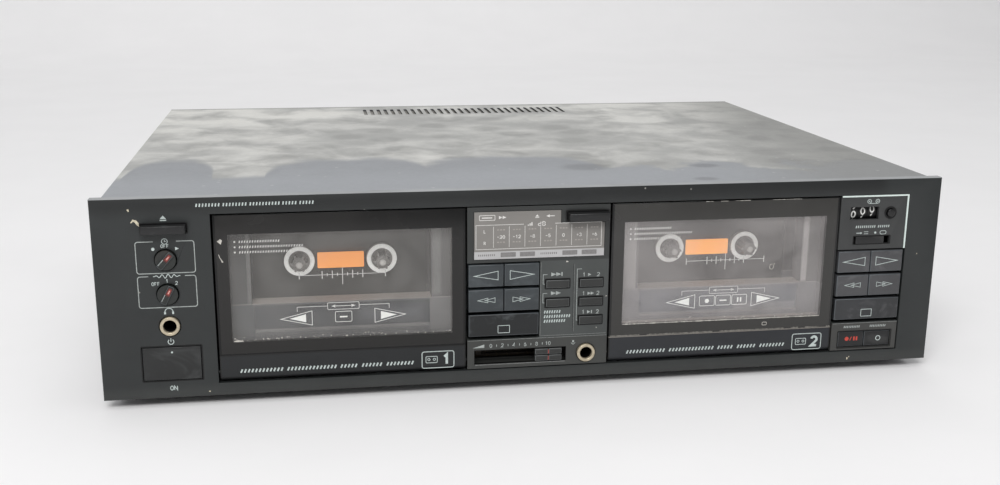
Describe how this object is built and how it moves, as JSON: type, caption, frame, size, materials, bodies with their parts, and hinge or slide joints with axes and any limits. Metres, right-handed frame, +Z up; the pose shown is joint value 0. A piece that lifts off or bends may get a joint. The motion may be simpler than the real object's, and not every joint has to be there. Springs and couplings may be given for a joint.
{
  "type": "double cassette deck",
  "caption": "Full-width hi-fi cassette deck with two tilting cassette doors, transport keys, level sliders, rotary switches and a tape counter, in a folded steel housing on round feet.",
  "frame": {"origin": "on the floor under the feet, at the middle of the deck's outline", "axes": "+X to the right as seen from the front, +Y from the front to the back, +Z up"},
  "size_m": [0.435, 0.3334, 0.1064],
  "materials": {
    "panel_plastic": "satin, faintly grained",
    "cover_paint": "fine-textured dark grey paint",
    "chassis_steel": "zinc-plated",
    "foot_rubber": "matte",
    "door_plastic": "satin",
    "smoked_window": "gloss, smoke tinted",
    "spindle_plastic": "off-white table with a dark hub",
    "key_plastic": "semi-gloss dark blue-grey",
    "socket_plating": "pale gold plating",
    "pulley_brass": "turned",
    "board_laminate": "printed circuit board",
    "transformer_iron": "varnished laminations",
    "belt_rubber": "matte",
    "counter_plastic": "black with white figures"
  },
  "bodies": {
    "housing": {"front_panel": "panel_plastic", "centre_panel": "panel_plastic", "right_panel": "panel_plastic", "top_cover": "cover_paint", "chassis": "chassis_steel", "feet": "foot_rubber", "transport_frame_1": "chassis_steel", "transport_frame_2": "chassis_steel", "display_window": "smoked_window", "front_sockets": "socket_plating", "circuit_boards": "board_laminate", "power_transformer": "transformer_iron", "rear_connectors": "socket_plating", "drive_belts": "belt_rubber", "screws": "chassis_steel"},
    "door_1": {"door_1": "door_plastic", "door_1_window": "smoked_window"},
    "door_2": {"door_2": "door_plastic", "door_2_window": "smoked_window"},
    "power_button": {"power_button": "key_plastic"},
    "eject_button_1": {"eject_button_1": "key_plastic"},
    "eject_button_2": {"eject_button_2": "key_plastic"},
    "level_slider_left": {"level_slider_left": "key_plastic"},
    "level_slider_right": {"level_slider_right": "key_plastic"},
    "timer_knob": {"timer_knob": "key_plastic"},
    "noise_reduction_knob": {"noise_reduction_knob": "key_plastic"},
    "reverse_mode_slider": {"reverse_mode_slider": "key_plastic"},
    "head_block_1": {"head_block_1": "chassis_steel"},
    "head_block_2": {"head_block_2": "chassis_steel"},
    "left_spindle_1": {"left_spindle_1": "spindle_plastic"},
    "right_spindle_1": {"right_spindle_1": "spindle_plastic"},
    "left_spindle_2": {"left_spindle_2": "spindle_plastic"},
    "right_spindle_2": {"right_spindle_2": "spindle_plastic"},
    "left_flywheel_1": {"left_flywheel_1": "chassis_steel"},
    "right_flywheel_1": {"right_flywheel_1": "chassis_steel"},
    "motor_pulley_1": {"motor_pulley_1": "pulley_brass"},
    "left_flywheel_2": {"left_flywheel_2": "chassis_steel"},
    "right_flywheel_2": {"right_flywheel_2": "chassis_steel"},
    "motor_pulley_2": {"motor_pulley_2": "pulley_brass"},
    "counter_units_wheel": {"counter_units_wheel": "counter_plastic"},
    "counter_tens_wheel": {"counter_tens_wheel": "counter_plastic"},
    "counter_hundreds_wheel": {"counter_hundreds_wheel": "counter_plastic"},
    "counter_reset_button": {"counter_reset_button": "key_plastic"},
    "reverse_play_key_1": {"reverse_play_key_1": "key_plastic"},
    "forward_play_key_1": {"forward_play_key_1": "key_plastic"},
    "rewind_key_1": {"rewind_key_1": "key_plastic"},
    "fast_forward_key_1": {"fast_forward_key_1": "key_plastic"},
    "stop_key_1": {"stop_key_1": "key_plastic"},
    "reverse_play_key_2": {"reverse_play_key_2": "key_plastic"},
    "forward_play_key_2": {"forward_play_key_2": "key_plastic"},
    "rewind_key_2": {"rewind_key_2": "key_plastic"},
    "fast_forward_key_2": {"fast_forward_key_2": "key_plastic"},
    "stop_key_2": {"stop_key_2": "key_plastic"},
    "record_pause_key": {"record_pause_key": "key_plastic"},
    "auto_space_key": {"auto_space_key": "key_plastic"},
    "track_search_button": {"track_search_button": "key_plastic"},
    "preset_button": {"preset_button": "key_plastic"},
    "normal_dubbing_button": {"normal_dubbing_button": "key_plastic"},
    "high_speed_dubbing_button": {"high_speed_dubbing_button": "key_plastic"},
    "search_dubbing_button": {"search_dubbing_button": "key_plastic"}
  },
  "joints": [
    {"name": "door_1_hinge", "type": "hinge", "parent": "housing", "child": "door_1", "pos_m": [-0.0993, -0.15775, 0.0159], "axis": [1, 0, 0], "range_deg": [0, 30]},
    {"name": "door_2_hinge", "type": "hinge", "parent": "housing", "child": "door_2", "pos_m": [0.0993, -0.15775, 0.0159], "axis": [1, 0, 0], "range_deg": [0, 30]},
    {"name": "power_button_push", "type": "slide", "parent": "housing", "child": "power_button", "axis": [0, 1, 0], "range_m": [0, 0.0035], "stiffness_N_per_m": 300},
    {"name": "eject_button_1_push", "type": "slide", "parent": "housing", "child": "eject_button_1", "axis": [0, 1, 0], "range_m": [0, 0.003], "stiffness_N_per_m": 150},
    {"name": "eject_button_2_push", "type": "slide", "parent": "housing", "child": "eject_button_2", "axis": [0, 1, 0], "range_m": [0, 0.003], "stiffness_N_per_m": 150},
    {"name": "level_slider_left_slide", "type": "slide", "parent": "housing", "child": "level_slider_left", "axis": [1, 0, 0], "range_m": [-0.0314, 0.002]},
    {"name": "level_slider_right_slide", "type": "slide", "parent": "housing", "child": "level_slider_right", "axis": [1, 0, 0], "range_m": [-0.0314, 0.002]},
    {"name": "timer_knob_turn", "type": "hinge", "parent": "housing", "child": "timer_knob", "pos_m": [-0.1837, -0.16175, 0.0759], "axis": [0, 1, 0], "range_deg": [-84, 0]},
    {"name": "noise_reduction_knob_turn", "type": "hinge", "parent": "housing", "child": "noise_reduction_knob", "pos_m": [-0.1837, -0.16175, 0.0586], "axis": [0, 1, 0], "range_deg": [-70, 14]},
    {"name": "reverse_mode_slider_slide", "type": "slide", "parent": "housing", "child": "reverse_mode_slider", "axis": [1, 0, 0], "range_m": [0, 0.0032]},
    {"name": "head_block_1_lift", "type": "slide", "parent": "housing", "child": "head_block_1", "axis": [0, 0, 1], "range_m": [0, 0.005]},
    {"name": "head_block_2_lift", "type": "slide", "parent": "housing", "child": "head_block_2", "axis": [0, 0, 1], "range_m": [0, 0.005]},
    {"name": "left_spindle_1_spin", "type": "hinge", "parent": "housing", "child": "left_spindle_1", "pos_m": [-0.12055, -0.12975, 0.0653], "axis": [0, 1, 0], "continuous": true},
    {"name": "right_spindle_1_spin", "type": "hinge", "parent": "housing", "child": "right_spindle_1", "pos_m": [-0.07805, -0.12975, 0.0653], "axis": [0, 1, 0], "continuous": true},
    {"name": "left_spindle_2_spin", "type": "hinge", "parent": "housing", "child": "left_spindle_2", "pos_m": [0.07805, -0.12975, 0.0653], "axis": [0, 1, 0], "continuous": true},
    {"name": "right_spindle_2_spin", "type": "hinge", "parent": "housing", "child": "right_spindle_2", "pos_m": [0.12055, -0.12975, 0.0653], "axis": [0, 1, 0], "continuous": true},
    {"name": "left_flywheel_1_spin", "type": "hinge", "parent": "housing", "child": "left_flywheel_1", "pos_m": [-0.1258, -0.12975, 0.0397], "axis": [0, 1, 0], "continuous": true},
    {"name": "right_flywheel_1_spin", "type": "hinge", "parent": "housing", "child": "right_flywheel_1", "pos_m": [-0.0728, -0.12975, 0.0397], "axis": [0, 1, 0], "continuous": true},
    {"name": "motor_pulley_1_spin", "type": "hinge", "parent": "housing", "child": "motor_pulley_1", "pos_m": [-0.0553, -0.12975, 0.071], "axis": [0, 1, 0], "continuous": true},
    {"name": "left_flywheel_2_spin", "type": "hinge", "parent": "housing", "child": "left_flywheel_2", "pos_m": [0.0728, -0.12975, 0.0397], "axis": [0, 1, 0], "continuous": true},
    {"name": "right_flywheel_2_spin", "type": "hinge", "parent": "housing", "child": "right_flywheel_2", "pos_m": [0.1258, -0.12975, 0.0397], "axis": [0, 1, 0], "continuous": true},
    {"name": "motor_pulley_2_spin", "type": "hinge", "parent": "housing", "child": "motor_pulley_2", "pos_m": [0.1433, -0.12975, 0.071], "axis": [0, 1, 0], "continuous": true},
    {"name": "counter_units_wheel_spin", "type": "hinge", "parent": "housing", "child": "counter_units_wheel", "pos_m": [0.1755, -0.15145, 0.088], "axis": [1, 0, 0], "continuous": true},
    {"name": "counter_tens_wheel_spin", "type": "hinge", "parent": "housing", "child": "counter_tens_wheel", "pos_m": [0.1755, -0.15145, 0.088], "axis": [1, 0, 0], "continuous": true},
    {"name": "counter_hundreds_wheel_spin", "type": "hinge", "parent": "housing", "child": "counter_hundreds_wheel", "pos_m": [0.1755, -0.15145, 0.088], "axis": [1, 0, 0], "continuous": true},
    {"name": "counter_reset_button_push", "type": "slide", "parent": "housing", "child": "counter_reset_button", "axis": [0, 1, 0], "range_m": [0, 0.0015], "stiffness_N_per_m": 40},
    {"name": "reverse_play_key_1_push", "type": "slide", "parent": "housing", "child": "reverse_play_key_1", "axis": [0, 1, 0], "range_m": [0, 0.0015], "stiffness_N_per_m": 150},
    {"name": "forward_play_key_1_push", "type": "slide", "parent": "housing", "child": "forward_play_key_1", "axis": [0, 1, 0], "range_m": [0, 0.0015], "stiffness_N_per_m": 150},
    {"name": "rewind_key_1_push", "type": "slide", "parent": "housing", "child": "rewind_key_1", "axis": [0, 1, 0], "range_m": [0, 0.0015], "stiffness_N_per_m": 150},
    {"name": "fast_forward_key_1_push", "type": "slide", "parent": "housing", "child": "fast_forward_key_1", "axis": [0, 1, 0], "range_m": [0, 0.0015], "stiffness_N_per_m": 150},
    {"name": "stop_key_1_push", "type": "slide", "parent": "housing", "child": "stop_key_1", "axis": [0, 1, 0], "range_m": [0, 0.0015], "stiffness_N_per_m": 150},
    {"name": "reverse_play_key_2_push", "type": "slide", "parent": "housing", "child": "reverse_play_key_2", "axis": [0, 1, 0], "range_m": [0, 0.0015], "stiffness_N_per_m": 150},
    {"name": "forward_play_key_2_push", "type": "slide", "parent": "housing", "child": "forward_play_key_2", "axis": [0, 1, 0], "range_m": [0, 0.0015], "stiffness_N_per_m": 150},
    {"name": "rewind_key_2_push", "type": "slide", "parent": "housing", "child": "rewind_key_2", "axis": [0, 1, 0], "range_m": [0, 0.0015], "stiffness_N_per_m": 150},
    {"name": "fast_forward_key_2_push", "type": "slide", "parent": "housing", "child": "fast_forward_key_2", "axis": [0, 1, 0], "range_m": [0, 0.0015], "stiffness_N_per_m": 150},
    {"name": "stop_key_2_push", "type": "slide", "parent": "housing", "child": "stop_key_2", "axis": [0, 1, 0], "range_m": [0, 0.0015], "stiffness_N_per_m": 150},
    {"name": "record_pause_key_push", "type": "slide", "parent": "housing", "child": "record_pause_key", "axis": [0, 1, 0], "range_m": [0, 0.0012], "stiffness_N_per_m": 80},
    {"name": "auto_space_key_push", "type": "slide", "parent": "housing", "child": "auto_space_key", "axis": [0, 1, 0], "range_m": [0, 0.0012], "stiffness_N_per_m": 80},
    {"name": "track_search_button_push", "type": "slide", "parent": "housing", "child": "track_search_button", "axis": [0, 1, 0], "range_m": [0, 0.0012], "stiffness_N_per_m": 80},
    {"name": "preset_button_push", "type": "slide", "parent": "housing", "child": "preset_button", "axis": [0, 1, 0], "range_m": [0, 0.0012], "stiffness_N_per_m": 80},
    {"name": "normal_dubbing_button_push", "type": "slide", "parent": "housing", "child": "normal_dubbing_button", "axis": [0, 1, 0], "range_m": [0, 0.0012], "stiffness_N_per_m": 80},
    {"name": "high_speed_dubbing_button_push", "type": "slide", "parent": "housing", "child": "high_speed_dubbing_button", "axis": [0, 1, 0], "range_m": [0, 0.0012], "stiffness_N_per_m": 80},
    {"name": "search_dubbing_button_push", "type": "slide", "parent": "housing", "child": "search_dubbing_button", "axis": [0, 1, 0], "range_m": [0, 0.0012], "stiffness_N_per_m": 80}
  ],
  "couplings": [
    {"joint": "right_flywheel_1_spin", "follows": "left_flywheel_1_spin", "ratio": -1},
    {"joint": "motor_pulley_1_spin", "follows": "left_flywheel_1_spin", "ratio": 4.8},
    {"joint": "right_flywheel_2_spin", "follows": "left_flywheel_2_spin", "ratio": -1},
    {"joint": "motor_pulley_2_spin", "follows": "left_flywheel_2_spin", "ratio": 4.8},
    {"joint": "counter_tens_wheel_spin", "follows": "counter_units_wheel_spin", "ratio": 0.1},
    {"joint": "counter_hundreds_wheel_spin", "follows": "counter_units_wheel_spin", "ratio": 0.01}
  ]
}
